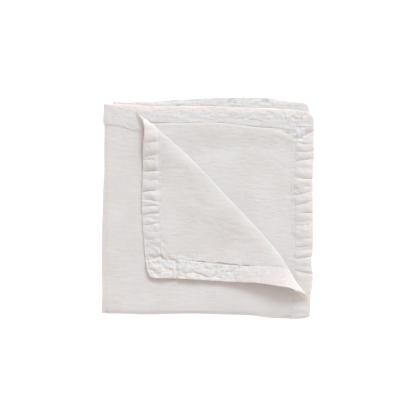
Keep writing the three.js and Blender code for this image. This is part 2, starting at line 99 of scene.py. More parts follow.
# The turned-back corner. Each row is a line square to the diagonal crease, at its distance along the crease
# from the middle. start is where the cloth leaves the flat, crest is where the roll reaches furthest,
# reach is how much of its length the slack flap shows, and settle is how far it runs before it lies down.
CREASE_COLUMNS = ("along", "start", "crest", "radius", "reach", "settle")
CREASE = np.array((
    (-177, 208, 203.0, 5.0, 0.4, 40),
    (-163, 208, 202.0, 4.0, 0.4, 42),
    (-148, 206, 200.2, 2.9, 0.4, 45),
    (-138, 208, 198.2, 4.0, 0.4, 46),
    (-131, 211, 198.6, 5.0, 0.45, 47),
    (-125, 211, 199.9, 5.2, 0.6, 48),
    (-112, 207, 201.6, 4.8, 0.84, 50),
    (-96, 204, 202.6, 4.2, 0.87, 52),
    (-63, 202, 204.4, 3.3, 0.93, 55),
    (-37, 201.6, 204.6, 3.0, 0.935, 58),
    (0, 200.5, 203.3, 2.8, 0.92, 64),
    (40, 199.5, 202.3, 3.0, 0.94, 70),
    (70, 199, 201.2, 3.4, 0.97, 78),
    (100, 198, 198.8, 4.3, 1.0, 92),
    (117, 195, 195.4, 5.1, 0.96, 102),
    (127, 192.5, 192.8, 5.7, 0.9, 108),
    (137, 190, 190.2, 6.2, 0.7, 112),
    (148, 188, 189.4, 6.4, 0.6, 115),
    (158, 187.5, 189.2, 6.3, 0.6, 115),
    (177, 187.5, 188.0, 6.0, 0.6, 115),
))

# The crease lies at 45 degrees: this turns places in plan into distances along it and square to it
DIAGONAL = math.sqrt(0.5)

# The top of the roll slopes down towards the crest over this width, more steeply the nearer it comes
CREST_SHOULDER = 17
CREST_POWER = 0.45

# The far corner of the flap lies a little further along the crease than it would if folded square
CORNER_SWAY_SHIFT = 8
CORNER_SWAY_OVER = 132
CORNER_SWAY_POWER = 4

# How the edges wander in plan: the place along the edge and the move across it
LEFT_FOLD_WANDER = (
    (0, -1), (15, -0.2), (36, -0.2), (60, -0.8), (93, -1), (135, -0.1), (147, 0.2),
    (170, 1.5), (194, 1.2), (218, 1.7), (227, 1.6), (230, 1), (260, 0.8),
)
BOTTOM_FOLD_WANDER = (
    (0, -0.8), (24, -1.4), (48, -2.2), (72, -1.9), (96, -1.3), (120, -1.6), (144, -2.4), (168, -2.9),
    (180, -3.8), (192, -5.3), (204, -6.5), (228, -7.3), (240, -7.1), (245, -5.7), (250, -3.6),
)
SECOND_LEAF_END = (
    (0, 0), (35, -1), (62, -3), (133, -3), (175, -5), (211, -6.5), (232, -8), (250, -10),
)
SECOND_LEAF_SIDE = (
    (0, 0), (12, -0.2), (20, -0.9), (34, 1.4), (48, 1.5), (56, 0), (66, -0.2), (77, 1.2), (106, 1.2),
    (142, 0.7), (149, 0), (156, 0.3), (178, 1.4), (192, 2.6), (213, 1.9), (225, 2.6), (250, 2),
)
LAST_END_WANDER = (
    (0, 0.4), (16, -0.6), (40, 0.2), (62, 1), (80, 2.3), (104, 3.4), (128, 4.8), (160, 5.2),
    (184, 5.4), (200, 4.6), (212, 2.4), (224, 0.8), (236, 0), (250, 0),
)
TURN_END_WANDER = ((0, 0), (195, 0), (218, -2), (236, -5), (250, -9))
LEG_DRIFT = ((0, 0), (250, 0), (500, 1.3), (750, -1.2), (1000, 1), (1250, -0.6), (1480, 0))
LAST_LEG_DRAW = (10.5, -3)
BOTTOM_CORNER_DRAW = 2.6
BOTTOM_CORNER_POWER = 12
WANDER_FADE = 85
END_FADE_POWER = 4
SIDE_FADE_POWER = 6

# How high the pile stands, as a share of its usual height: more along the sewn edges, less at its outside
PILE_BY_Y = (
    (-2, 1.0), (1, 1.045), (4, 1.065), (8, 1.075), (14, 1.07), (24, 1.045), (36, 1.015), (50, 1), (185, 1),
    (197, 1.006), (213, 1.046), (226, 1.043), (240, 1.01), (247, 0.955), (255, 0.9),
)
PILE_BY_X = (
    (-1, 0.5), (1.2, 0.72), (3, 0.905), (5, 0.98), (8, 1), (200, 1), (222, 1.02), (231, 1.025),
    (240, 1.0), (250, 0.95),
)
SEWN_FROM_X = 25
SEWN_FULL_X = 70

# The gathers that show, each a valley across its frill: its place along the edge, how deep it is from 0
# to 1, how far it leans from the free edge to the seam, and how much is left at the free edge and the seam
FLAP_END_VALLEYS = (
    (62, 0.5, 0, 1, 1), (79, 0.8, -3, 1, 0.4), (92.5, 1, -7, 0.4, 1), (107.6, 0.9, -6.7, 0.4, 1),
    (113.3, 0.6, -2.6, 1, 0.2), (126.8, 1, -2.3, 1, 1), (136.2, 0.4, -2, 0.2, 1), (149.5, 1, -7.5, 1, 0.8),
    (160.6, 0.7, -1, 1, 1), (167.4, 0.7, -2.4, 1, 1), (176.6, 0.9, -4, 1, 1), (181.8, 0.25, 0, 1, 1),
    (188.4, 0.8, -5, 1, 1), (196.1, 0.5, 0, 0.5, 1), (206.6, 0.4, 0, 1, 0.5), (216.2, 0.8, -2.7, 0.5, 1),
    (223, 0.3, 0, 1, 0.5), (228.5, 0.8, -3.1, 1, 0.6), (238, 0.5, 0, 1, 1), (252, 0.5, 0, 1, 1),
)
SECOND_SIDE_VALLEYS = (
    (11.2, 0.5, 2, 1, 0.6), (20, 0.4, 2, 0.3, 1), (31.9, 1, 10.8, 1, 1), (43, 0.5, 1, 0.6, 1),
    (53.7, 0.7, 2.9, 0.7, 1), (64, 0.9, 4, 0.7, 1), (75, 0.2, 0, 1, 1), (87.8, 1, 0.4, 1, 1),
    (98, 0.3, 3, 1, 0.3), (105.7, 0.7, 4.5, 0.8, 1), (118, 0.7, 5.6, 0.4, 1), (130, 0.8, 0, 1, 0),
    (139.6, 0.3, 0, 0.5, 1), (145, 0.7, 0, 0.3, 1), (160, 0.35, 0, 1, 0.5), (170, 0.4, 0, 0.4, 1),
    (174.5, 0.7, 0, 1, 0), (184.2, 0.85, 1.5, 1, 1), (193, 0.2, 0, 1, 1), (200.3, 0.95, -3.4, 1, 1),
    (212, 0.2, 0, 1, 1), (240, 0.2, 0, 1, 1),
)
FLAP_SIDE_VALLEYS = (
    (0, 0.5, 0, 1, 1), (10, 0.4, 0, 1, 1), (22, 0.5, 0, 1, 1), (41, 0.9, -1, 1, 1), (52, 0.5, 3, 1, 0.2),
    (66, 0.4, -6, 1, 0.3), (79, 0.3, -5, 1, 0.2), (92, 0.35, 0, 0.4, 1), (101, 0.3, 2, 1, 0.4),
    (112, 0.4, 0, 0.5, 1), (121, 0.3, 2, 1, 1), (133, 0.35, 0, 0.4, 1), (151, 0.5, 0, 1, 0),
    (172, 0.1, 0, 1, 1), (250, 0, 0, 1, 1),
)

# How high the gathers stand along each frill that shows: the place along the edge and the height
FLAP_END_HEIGHT = ((0, 0), (60, 0), (80, 2.3), (100, 3.5), (130, 4.6), (160, 3.9), (236, 3.4), (250, 2.4))
FLAP_SIDE_HEIGHT = ((0, 1.8), (40, 1.8), (110, 1.5), (150, 1), (172, 0.3), (188, 0), (250, 0))
SECOND_SIDE_HEIGHT = ((0, 2.6), (30, 3), (175, 3.2), (196, 2.8), (206, 1.8), (225, 0.6), (250, 0))
SECOND_END_HEIGHT = ((0, 0.2), (50, 0.4), (80, 0.9), (200, 1.2), (225, 1.5), (250, 1.5))
SECOND_END_LEVEL = 0.5
SECOND_END_CRUMPLES = ((12, 9, 0.35), (6, 6, 0.225))

# The ridge between two valleys: how blunt it is, how wide one of full height is, and the share of height
# that a wider one can have. GATHER_DEPTH is the share left from the free edge to the seam
RIDGE_POWER = 0.72
FULL_RIDGE = 11
WIDE_RIDGE = 1.35
GATHER_DEPTH = ((0, 0.66), (0.25, 0.94), (0.6, 0.95), (0.85, 0.75), (1, 0.35))
GATHER_BEND = 1.5
GATHER_BEND_SIZE = (14, 9)

# The flap's lower frill is lifted at its free edge. Its left frill droops there, with its gathers pressed
# lower by a share of their height
FLAP_SIDE_LIFT = (
    (0, 2.0), (20, 2.8), (32, 1.7), (42, 2.8), (60, 3.2), (110, 3.3), (150, 4.8), (175, 5.2), (192, 4),
    (207, 1.8), (222, 0),
)
EDGE_DROOP = 0.7
EDGE_PRESS = 0.5

# The lower frill's free edge is drawn in towards the seam near the fold
FLAP_SIDE_DRAW = ((0, 0), (110, 0), (150, 1.3), (172, 2.5), (195, 3.8), (210, 3), (225, 1), (240, 0))

# How sharp the groove of each seam is, from 0 to 1, by the place along it
FLAP_END_GROOVE = ((0, 1), (45, 1), (70, 0.2), (195, 0.2), (225, 0.6), (250, 0.6))
SECOND_END_GROOVE = ((0, 0.6), (170, 0.65), (200, 0.8), (250, 0.8))
FLAP_SIDE_GROOVE = (
    (0, 0.4), (20, 0.6), (25, 1), (41, 1), (46, 0.3), (56, 0.3), (62, 1), (135, 1), (170, 0.3),
    (195, 0), (250, 0),
)
SECOND_SIDE_GROOVE = 0.1

# Gathers that show from the side only: their pitch, how much it drifts and over what length, their height,
# how far the free edge wanders, and the run in which the gathers that show become these
HIDDEN_WAVE = (8.6, 0.9, 31)
HIDDEN_HEIGHT = 0.28
HIDDEN_EDGE_WANDER = 0.7
HIDDEN_EDGE_SIZE = 14
SETTLE_RUN = 30

# The frill that lies lowest: it is clear of the pile beyond a place in plan, and crumpled and tilted there
LAST_END_CLEAR_Y = 246
LAST_END_CLEAR_RUN = 5
LAST_END_HEIGHT = 1.8
LAST_END_LEVEL = 0.7
LAST_END_EVEN_SHARE = 0.4
LAST_END_CRUMPLES = ((12, 7, 0.24), (6, 4.5, 0.24), (3.4, 3, 0.16))
LAST_END_TILT = 0.8
LAST_END_TILT_FROM = 246
LAST_END_TILT_RUN = 13
LAST_END_TILT_START = 236
LAST_END_TILT_RISE = 8

# Soft crumples: the size across and along the weave, and the height
PANEL_CRUMPLES = ((70, 45, 0.4), (34, 18, 0.16), (15, 7, 0.07), (8, 3.4, 0.035))
FRILL_CRUMPLES = ((9, 7, 0.3), (4.5, 3.5, 0.28), (2.6, 2.2, 0.12))
SMALL_CRUMPLE_RUN = 12
FOLD_CLEAR = 8

# Thin creases pressed into the frills: the size across and along the weave, and the depth
SIDE_PINCHES = ((5.5, 14, 1.2), (3.5, 7, 0.9))
END_PINCHES = ((14, 6, 0.5), (7, 4, 0.35))
SIDE_PINCH_AMOUNT = ((0, 1), (60, 1), (110, 0.7), (150, 0.35), (180, 0), (250, 0))
PINCH_POWER = 7

# The crumpled corners of the runner: how high, where, how far they reach, and how the panel is cut off there
CORNER_CRUMPLES = ((13, 10, 1.5), (7, 5, 1.3), (3.6, 3.2, 0.8))
SECOND_CORNER_SHARE = 0.6
CORNER_MIDDLE = (239.5, 10)
CORNER_FULL = 16
CORNER_REACH = 38
CORNER_CUT = 1.8
CORNER_CUT_REACH = 14

# How the gathering draws the seams out of line, and the puckers it leaves beside them: their pitch, how much
# it drifts and over what length
SECOND_SEAM_DRAW = ((0, 0), (136, 0), (150, 0.5), (175, 2.2), (200, 4.2), (224, 6.4), (229, 6.8))
DRAW_REACH = 34
SEAM_WANDER = 1.3
SEAM_WANDER_SIZE = 7
END_SEAM_WANDER = 0.5
END_SEAM_WANDER_SIZE = 16
FLAP_SEAM_SHIFT = ((0, 0), (55, 0), (85, 0.8), (120, 1.9), (135, 2.1), (150, 1.3), (165, 1.3), (185, 0))
PUCKER_WAVE = (6.5, 0.8, 23)
PUCKER_HEIGHT = 0.3
PLAIN_PUCKER_SHARE = 0.2
PUCKER_REACH = 13

# The frill is sewn under the panel's edge: how far it reaches and drops, and how it rises on the first leaf.
# It reaches further under the flap's corner, and the side frills lie flush near the end of the first leg.
# The panel's own edge stands a little higher at its seams
TUCK = 3.5
TUCK_DROP = 0.6
TUCK_RISE = 1.15
GROOVE_DEPTH = 1.3
TUCK_RUN = 1.8
CORNER_TUCK = 5
FLUSH_FROM = 205
FLUSH_RUN = 12
CORNER_TUCK_FROM = 203
CORNER_TUCK_RUN = 15
CORNER_TUCK_END_RUN = 2
TUCK_END_RUN = 4
GATHERED_EDGE_RISE = 0.35
PLAIN_EDGE_RISE = 0.3
EDGE_RISE_WIDTH = 8

# Creases and soft rises placed one by one on a leaf: where each starts and where it ends in plan, how wide
# it is, and how high, which is below 0 for a trough
PLACED = {
    "second": (
        (116, 220, 176, 218, 9, 0.9), (176, 218, 226, 213, 8, 0.9), (128, 199, 158, 197, 9, -0.8),
        (180, 200, 200, 198, 7, -0.7), (213, 206, 220, 210, 1.8, -0.5), (150, 208, 222, 204, 12, -0.2),
        (221, 143, 231, 148, 1.8, -0.6), (221, 140, 236, 143, 1.6, -0.5), (202, 146, 208, 146, 1.6, -0.3),
        (176, 150, 200, 110, 16, 0.5), (229, 208.5, 237, 208.5, 1.7, -1.3),
        (237, 208.5, 243, 214, 1.7, -1.4), (243, 214, 251, 217.5, 1.7, -1.3),
        (234, 214, 242, 224, 3.4, 0.9), (230, 232.5, 236, 232, 1.5, -0.9),
        (236, 232, 241, 237, 1.5, -0.9), (241, 226, 249, 228.5, 1.5, -0.9),
        (229, 201, 238, 202, 1.6, -0.7), (205, 219, 213, 219, 1.5, -0.8),
        (213, 219, 221, 214.5, 1.6, -1.3), (221, 214.5, 229, 216, 1.6, -1.2),
        (208, 215, 224, 207, 3, 0.5),
    ),
    "flap": (
        (68, 173, 99, 172, 2.2, -0.45), (68, 169.5, 78, 169, 1.5, -0.45),
        (69, 163.5, 77, 164, 1.5, -0.35), (72, 156, 87, 156, 1.5, -0.2), (98, 147, 125, 147, 1.8, -0.3),
        (107, 138, 116, 133, 4, -0.5), (116, 129, 126, 128, 4, -0.35), (116, 110, 126, 105, 2.2, -0.3),
        (134, 109, 141, 103, 2.2, -0.3), (150, 98, 164, 92, 2.4, -0.35), (160, 86, 183, 86, 2.4, -0.3),
        (162, 82, 183, 81, 2.2, -0.25), (120, 122, 165, 104, 14, 0.6), (140, 84, 185, 70, 12, -0.6),
        (70, 190, 98, 184, 9, 0.4), (70, 140, 100, 136, 10, 0.4), (68, 90, 75, 81, 2, -0.6),
        (71, 76, 76, 70, 2, -0.6), (86, 70, 93, 70.5, 1.8, -0.4), (97, 68, 106, 66, 1.8, -0.4),
        (87.5, 61, 88.5, 42, 1.3, -1.3), (95, 48, 103, 47, 1.3, -1.5), (103, 49, 107, 46, 1.3, -1.4),
        (108, 49, 125, 43, 1.3, -1.6), (91, 45, 98, 43.5, 1.2, -1.2), (120, 54, 131, 51.5, 1.2, -1.1),
        (135, 53.5, 144, 55, 1.2, -1.1), (152, 49, 157, 51.5, 1.2, -1.0), (161, 53.5, 170, 55, 1.2, -1.0),
        (131, 44, 140, 42.5, 1.2, -1.0), (146, 46, 150, 41, 1.2, -0.8), (112, 57, 120, 58.5, 1.2, -0.8),
        (52, 63.5, 60, 65, 1.4, -1.0), (60, 65, 69, 68.5, 1.4, -1.2), (55, 63, 61, 60.5, 1.4, -1.1),
        (70, 58, 73, 54, 1.3, -0.8), (73, 54, 79, 52, 1.3, -0.8), (76, 60, 82, 57, 1.3, -0.8),
        (62, 47.5, 66, 46.5, 1.6, -1.0), (187, 42, 190, 42, 1.6, -0.9), (72, 65, 76, 61, 2, -1.4),
        (76, 67, 88, 60.5, 1.8, -1.2), (90, 63, 104, 62, 2.2, 0.7), (66, 75, 72, 72, 3, 0.6),
        (62, 54, 74, 48, 2.4, 0.6), (80, 55, 86, 51, 3, 0.5),
    ),
}


def ease(t):
    """0 below 0, 1 above 1 and a smooth step between"""
    t = np.clip(t, 0, 1)
    return t * t * (3 - 2 * t)


def curve(table, places):
    """The value of a table of places and values, on a smooth curve through its rows"""
    at, value = np.array(table, float).T
    last = len(at) - 1
    before = np.maximum(np.arange(last + 1) - 1, 0)
    after = np.minimum(np.arange(last + 1) + 1, last)
    slope = (value[after] - value[before]) / (at[after] - at[before])
    places = np.clip(places, at[0], at[-1])
    i = np.clip(np.searchsorted(at, places) - 1, 0, last - 1)
    width = at[i + 1] - at[i]
    t = (places - at[i]) / width
    rise = value[i + 1] - value[i]
    into = slope[i] * width
    out = slope[i + 1] * width
    return value[i] + rise * t + t * (1 - t) * ((1 - t) * (into - rise) - t * (out - rise))


def soft_noise(x, y, size_x, size_y, seed):
    """Smooth hills and hollows between -1 and 1, of about one size"""
    lattice = np.random.default_rng(seed).uniform(-1, 1, (NOISE_LATTICE, NOISE_LATTICE))
    u, v = x / size_x, y / size_y
    i, j = np.floor(u).astype(int), np.floor(v).astype(int)
    s, t = ease(u - i), ease(v - j)

    def corner(a, b):
        return lattice[(i + a) % NOISE_LATTICE, (j + b) % NOISE_LATTICE]

    near = corner(0, 0) * (1 - s) + corner(1, 0) * s
    far = corner(0, 1) * (1 - s) + corner(1, 1) * s
    return near * (1 - t) + far * t


def crumples(table, x, y, seed, form=np.positive):
    """Soft hills and hollows of several sizes, each given the same form"""
    total = 0
    for number, (size_x, size_y, height) in enumerate(table):
        total = total + height * form(soft_noise(x, y, size_x, size_y, seed + number))
    return total


def pinches(table, x, y, seed):
    """Thin winding creases, as where gathered cloth was pressed flat"""
    return crumples(table, x, y, seed, lambda noise: -(np.maximum(0, 1 - np.abs(noise)) ** PINCH_POWER))


def even_waves(place, wave, seed):
    """Waves of an almost even pitch, between -1 and 1"""
    pitch, drift, drift_size = wave
    drift = drift * soft_noise(place, place * 0, drift_size, 1, seed)
    return np.sin((place / pitch + drift) * 2 * math.pi)


def legs_of_fold():
    """Each leg's start along the cloth, its length, its heading, where it starts in plan and its height"""
    first = SIDE - TURN_REACH
    last = LAST_END_Y - TURN_REACH
    turn = math.pi * TURN_RADIUS
    inner = (RUNNER_LENGTH - first - last - turn * (LEGS - 1)) / (LEGS - 2)
    lowest = SOLID_THICKNESS / 2 + EDGE_FOLD_RADIUS
    rows = []
    start = 0
    for number in range(LEGS):
        heading = 1 if number % 2 else -1
        length = first if number == 0 else last if number == LEGS - 1 else inner
        from_y = SIDE if number == 0 else TURN_REACH if heading > 0 else TURN_REACH + inner
        rows.append((start, length, heading, from_y, lowest + 2 * LAYER_PITCH * (LEGS - 1 - number)))
        start += length + turn
    return np.array(rows).T


LEG_START, LEG_LENGTH, LEG_HEADING, LEG_FROM_Y, LEG_Z = legs_of_fold()
TOP_LEAF_Z = LEG_Z[0] + EDGE_FOLD_RADIUS
FIRST_END = LEG_LENGTH[0]


def across_fold(across):
    """How far a point lies from the lengthwise fold, and how far above the middle of the doubled cloth"""
    angle = np.clip(across / EDGE_FOLD_RADIUS, -1, 1) * math.pi / 2
    x = np.where(np.abs(across) >= EDGE_FOLD_RADIUS, np.abs(across), EDGE_FOLD_RADIUS * (1 - np.cos(angle)))
    return x, EDGE_FOLD_RADIUS * np.sin(angle)


def along_fold(along, side):
    """The leg of a point of the doubled cloth, its place in plan and height, and whether it is in a turn"""
    leg = np.clip(np.searchsorted(LEG_START, along, side="right") - 1, 0, LEGS - 1)
    travelled = along - LEG_START[leg]
    heading = LEG_HEADING[leg]
    outward = -heading * side
    in_turn = (travelled > LEG_LENGTH[leg]) & (leg < LEGS - 1)
    angle = (travelled - LEG_LENGTH[leg]) / TURN_RADIUS
    radius = TURN_RADIUS + outward
    end_y = LEG_FROM_Y[leg] + heading * LEG_LENGTH[leg]
    flat_y = LEG_FROM_Y[leg] + heading * travelled
    y = np.where(in_turn, end_y + heading * radius * np.sin(angle), flat_y)
    z = LEG_Z[leg] + np.where(in_turn, radius * np.cos(angle) - TURN_RADIUS, outward)
    return leg, y, z, in_turn


def crease_at(along):
    """The crease's sizes on the lines square to it"""
    return (curve(CREASE[:, (0, column)], along) for column in range(1, len(CREASE_COLUMNS)))


def top_leaf(x, y):
    """The top leaf with its corner rolled over the diagonal crease, and how far round each point has gone"""
    along, out = (x - y) * DIAGONAL, (x + y) * DIAGONAL
    start, crest, radius, reach, settle = crease_at(along)
    foot = crest - radius
    edge = np.abs(along)
    angle = (out - start) / radius
    flat_out = out - (start - foot) * ((out - edge) / (start - edge)) ** 2
    roll = np.clip(angle, 0, math.pi)
    back = np.maximum(out - start - math.pi * radius, 0) * reach
    rolled_out = np.where(angle <= math.pi, foot + radius * np.sin(roll), foot - back)
    new_out = np.where(angle <= 0, flat_out, rolled_out)
    new_along = along + CORNER_SWAY_SHIFT * (back / CORNER_SWAY_OVER) ** CORNER_SWAY_POWER
    laid = LAYER_PITCH + (2 * radius - LAYER_PITCH) * (1 - ease(back / settle))
    inside = np.clip((crest - new_out) / CREST_SHOULDER, 0, 1)
    shoulder = radius * (1 - (1 - (1 - inside) ** 2) ** CREST_POWER)
    z = TOP_LEAF_Z + np.where(angle <= math.pi / 2, radius * (1 - np.cos(roll)), laid - shoulder)
    turned = ease(angle / math.pi)
    return (new_out + new_along) * DIAGONAL, (new_out - new_along) * DIAGONAL, z, turned


def fold(across, along):
    """Folds the flat runner. Gives each point's place, its leg, how far round the crease it has gone, and
    whether it is in a turn"""
    x, side = across_fold(across)
    leg, y, z, in_turn = along_fold(along, side)
    on_first = (leg == 0) & ~in_turn
    on_top = on_first & (across > EDGE_FOLD_RADIUS)
    top_x, top_y, top_z, turned = top_leaf(x, y)
    end_fade = np.maximum(0, y / SIDE) ** END_FADE_POWER
    under = on_first & ~on_top
    last = leg == LEGS - 1
    middle = ~on_first & ~last
    move_x = under * curve(SECOND_LEAF_SIDE, y) * (x / SIDE) ** SIDE_FADE_POWER
    move_x += last * (LAST_LEG_DRAW[0] + (LAST_LEG_DRAW[1] - LAST_LEG_DRAW[0]) * x / SIDE) * end_fade
    move_y = under * curve(SECOND_LEAF_END, x)
    move_y += last * curve(LAST_END_WANDER, x) + middle * curve(TURN_END_WANDER, x)
    x = np.where(on_top, top_x, x + move_x)
    y = np.where(on_top, top_y, y + move_y * end_fade)
    z = np.where(on_top, top_z, z)
    fade_x = np.maximum(0, 1 - x / WANDER_FADE) ** 2
    fade_y = np.maximum(0, 1 - y / WANDER_FADE) ** 2
    x = x + curve(LEFT_FOLD_WANDER, y) * fade_x + curve(LEG_DRIFT, along)
    x = x - BOTTOM_CORNER_DRAW * (np.maximum(x, 0) / SIDE) ** BOTTOM_CORNER_POWER * fade_y
    y = y + curve(BOTTOM_FOLD_WANDER, x) * fade_y
    sewn = ease((x - SEWN_FROM_X) / (SEWN_FULL_X - SEWN_FROM_X))
    by_y = curve(PILE_BY_Y, y)
    z = z * (1 + (by_y - 1) * np.where(y < SIDE / 2, 1, sewn)) * curve(PILE_BY_X, x)
    turned = np.where(on_top, turned, 0)
    return np.stack((x, y, z), -1), leg, turned, in_turn


def cloth_normal(shape, across, along):
    """The direction square to a shape's surface, on the face that the flap shows"""
    e = shape(across + NORMAL_STEP, along) - shape(across - NORMAL_STEP, along)
    n = shape(across, along + NORMAL_STEP) - shape(across, along - NORMAL_STEP)
    normal = np.cross(e, n)
    return normal / np.linalg.norm(normal, axis=-1, keepdims=True)


def plain_fold(across, along):
    return fold(across, along)[0]


def raised(point, height, across, along):
    """The points moved square to the plain fold's cloth"""
    return point + height[..., None] * cloth_normal(plain_fold, across, along)


def seam_distance(across, along):
    """How far a point of the panel is inside the seam round it"""
    ends = np.minimum(along - FRILL_WIDTH, RUNNER_LENGTH - FRILL_WIDTH - along)
    return np.minimum(PANEL_EDGE - np.abs(across), ends)


def flap_seam_shift(across, along):
    """How far the seam of the flap's lower frill lies outside a straight line"""
    return np.where(across > 0, curve(FLAP_SEAM_SHIFT, along), 0)


def seam_draw(across):
    """How far the second leaf's end seam is drawn in from a straight line"""
    return np.where(across < 0, curve(SECOND_SEAM_DRAW, -across), 0)


def wandered(across, along):
    """The panel's flat places with its sewn edges drawn in and out by the gathering, and its corners cut"""
    inside = PANEL_EDGE - np.abs(across)
    fade_x = ease(1 - inside / PUCKER_REACH)
    fade_end = ease(1 - (along - FRILL_WIDTH) / PUCKER_REACH)
    by_along = soft_noise(along, across * 0, SEAM_WANDER_SIZE, 1, SEED["seam"])
    by_across = soft_noise(across, along * 0, END_SEAM_WANDER_SIZE, 1, SEED["end seam"])
    from_corner = np.hypot(inside, along - FRILL_WIDTH)
    cut = CORNER_CUT * ease(1 - from_corner / CORNER_CUT_REACH) * (across > 0)
    drawn = seam_draw(across) * ease(1 - (along - FRILL_WIDTH) / DRAW_REACH)
    out = (SEAM_WANDER * by_along + flap_seam_shift(across, along)) * fade_x - cut
    return across + out * np.sign(across), along + END_SEAM_WANDER * by_across * fade_end + cut + drawn


def placed_creases(leaf, x, y):
    """The rise of the creases placed on one leaf"""
    total = np.zeros_like(x)
    for x0, y0, x1, y1, width, height in PLACED[leaf]:
        run = np.array((x1 - x0, y1 - y0))
        t = np.clip(((x - x0) * run[0] + (y - y0) * run[1]) / run.dot(run), 0, 1)
        away = np.hypot(x - x0 - t * run[0], y - y0 - t * run[1])
        total += height * np.exp(-((away / width) ** 2))
    return total


def creases_on(point, across, turned):
    """The rise of the placed creases on the flap and the second leaf"""
    flap, second = (placed_creases(leaf, point[..., 0], point[..., 1]) for leaf in ("flap", "second"))
    return np.where(across > 0, flap * (turned > 0.5), second)


def panel_shape(across, along):
    """The folded panel with its crumples and creases, its raised edges and the puckers beside its seams"""
    point, leg, turned, in_turn = fold(*wandered(across, along))
    shows = (leg == 0) & ~in_turn
    upper, turned_back = across > 0, turned > 0.5
    side = np.where(upper, 2 * turned - 1, 1)
    hills = creases_on(point, across, turned)
    for leaf, here in (("first", upper & ~turned_back), ("second", ~upper), ("flap", upper & turned_back)):
        hills += here * crumples(PANEL_CRUMPLES, point[..., 0], point[..., 1], SEED[leaf])
    hidden = crumples(PANEL_CRUMPLES[1:2], across, along, SEED["hidden"])
    inside = seam_distance(across, along)
    by_side = PANEL_EDGE - np.abs(across) < inside + TINY
    place = np.where(by_side, along, across)
    waves = even_waves(place, PUCKER_WAVE, SEED["pucker"]) * np.where(by_side | upper, 1, PLAIN_PUCKER_SHARE)
    waves *= PUCKER_HEIGHT * np.maximum(0, 1 - inside / PUCKER_REACH) ** 2
    gathered = upper != (PANEL_EDGE - np.abs(across) < along - FRILL_WIDTH)
    edge = np.where(gathered, GATHERED_EDGE_RISE, PLAIN_EDGE_RISE)
    edge = edge * ease(1 - inside / EDGE_RISE_WIDTH)
    edge *= np.where(upper, turned, 1 - ease((along - FLUSH_FROM) / FLUSH_RUN))
    fold_clear = ease(np.abs(across) / FOLD_CLEAR)
    height = np.where(shows, side * (hills + waves + edge) * fold_clear, hidden * fold_clear)
    return raised(point, height, across, along)


def gathers(valleys, place, depth, seed):
    """The height, from 0 to 1, of the rounded ridges between a frill's valleys"""
    at, deep, lean, at_edge, at_seam = np.array(valleys, float).T
    place = place + GATHER_BEND * soft_noise(place, depth * FRILL_WIDTH, *GATHER_BEND_SIZE, seed)
    shifted = at + lean * (depth[..., None] - 0.5)
    here = deep * (at_edge + (at_seam - at_edge) * depth[..., None])
    i = np.clip((shifted <= place[..., None]).sum(-1) - 1, 0, len(at) - 2)[..., None]
    low, high = (np.take_along_axis(shifted, k, -1)[..., 0] for k in (i, i + 1))
    deep_low, deep_high = (np.take_along_axis(here, k, -1)[..., 0] for k in (i, i + 1))
    width = np.maximum(high - low, 1)
    t = np.clip((place - low) / width, 0, 1)
    base = (1 - deep_low) * (1 - t) + (1 - deep_high) * t
    ridge = (4 * t * (1 - t)) ** RIDGE_POWER
    return (base + (1 - base) * ridge) * np.minimum(WIDE_RIDGE, width / FULL_RIDGE) ** 0.5


def tuck(from_edge, groove):
    """How far the frill drops to pass under the panel's edge, from a little before the seam where the groove
    is sharp"""
    return (TUCK_DROP + GROOVE_DEPTH * groove) * ease((from_edge - FRILL_WIDTH) / TUCK_RUN + groove)


def near_corner(place, along):
    """1 in the crumpled corner of the runner, fading to 0 along both frills"""
    away = np.hypot(place - CORNER_MIDDLE[0], along - CORNER_MIDDLE[1])
    return ease((CORNER_REACH - away) / (CORNER_REACH - CORNER_FULL))


def corner_crumples(across, along):
    """The crumples of a corner, the same on both frills that meet there"""
    total = crumples(CORNER_CRUMPLES, across, along, SEED["corner"], np.abs)
    total += pinches(SIDE_PINCHES, across, along, SEED["side pinches"])
    return total * near_corner(np.abs(across), along) * np.where(across > 0, 1, SECOND_CORNER_SHARE)


def frill_relief(point, across, along, turned, depth, above, below, seed):
    """The height of the gathers and crumples on the frills of the top leg, given each side's own gathers"""
    rise = np.where(across > 0, above, below) * (1 - near_corner(np.abs(across), along))
    rise = (rise + corner_crumples(across, along)) * curve(GATHER_DEPTH, depth)
    small = crumples(FRILL_CRUMPLES, across, along, seed)
    return rise + small * ease(np.abs(across) / SMALL_CRUMPLE_RUN) + creases_on(point, across, turned)


def end_frill_shape(across, along):
    """The frill on the end that lies on top"""
    point, _, turned, _ = fold(across, along)
    place = np.abs(across)
    on_flap = (across > 0) & (turned > 0.5)
    depth = np.clip(np.minimum(along, SIDE - place) / FRILL_WIDTH, 0, 1)
    across_frill = np.clip(along / (FRILL_WIDTH + seam_draw(across)), 0, 1)
    above = gathers(FLAP_END_VALLEYS, place, across_frill, SEED["flap end"])
    above *= curve(FLAP_END_HEIGHT, place) * (1 - EDGE_PRESS * (1 - depth) ** 2)
    below = SECOND_END_LEVEL + crumples(SECOND_END_CRUMPLES, across, along, SEED["second end"])
    below += pinches(END_PINCHES, across, along, SEED["end pinches"])
    below *= curve(SECOND_END_HEIGHT, place)
    rise = frill_relief(point, across, along, turned, depth, above, below, SEED["end crumples"])
    lift = curve(FLAP_SIDE_LIFT, along) * np.clip(1 - (SIDE - place) / FRILL_WIDTH, 0, 1)
    droop = EDGE_DROOP * (1 - depth) * (1 - near_corner(place, along))
    point[..., 2] += rise + (lift - droop) * on_flap
    upper, lower = curve(FLAP_END_GROOVE, place), curve(SECOND_END_GROOVE, place)
    tucked = tuck(along - seam_draw(across), np.where(across > 0, upper, lower))
    over = TUCK_RISE * ease(along / FRILL_WIDTH)
    tucked = np.where((across > 0) & (turned < 0.5), over, tucked)
    tucked *= ease((PANEL_EDGE - place) / TUCK_END_RUN + 0.5)
    return raised(point, -tucked, across, along)


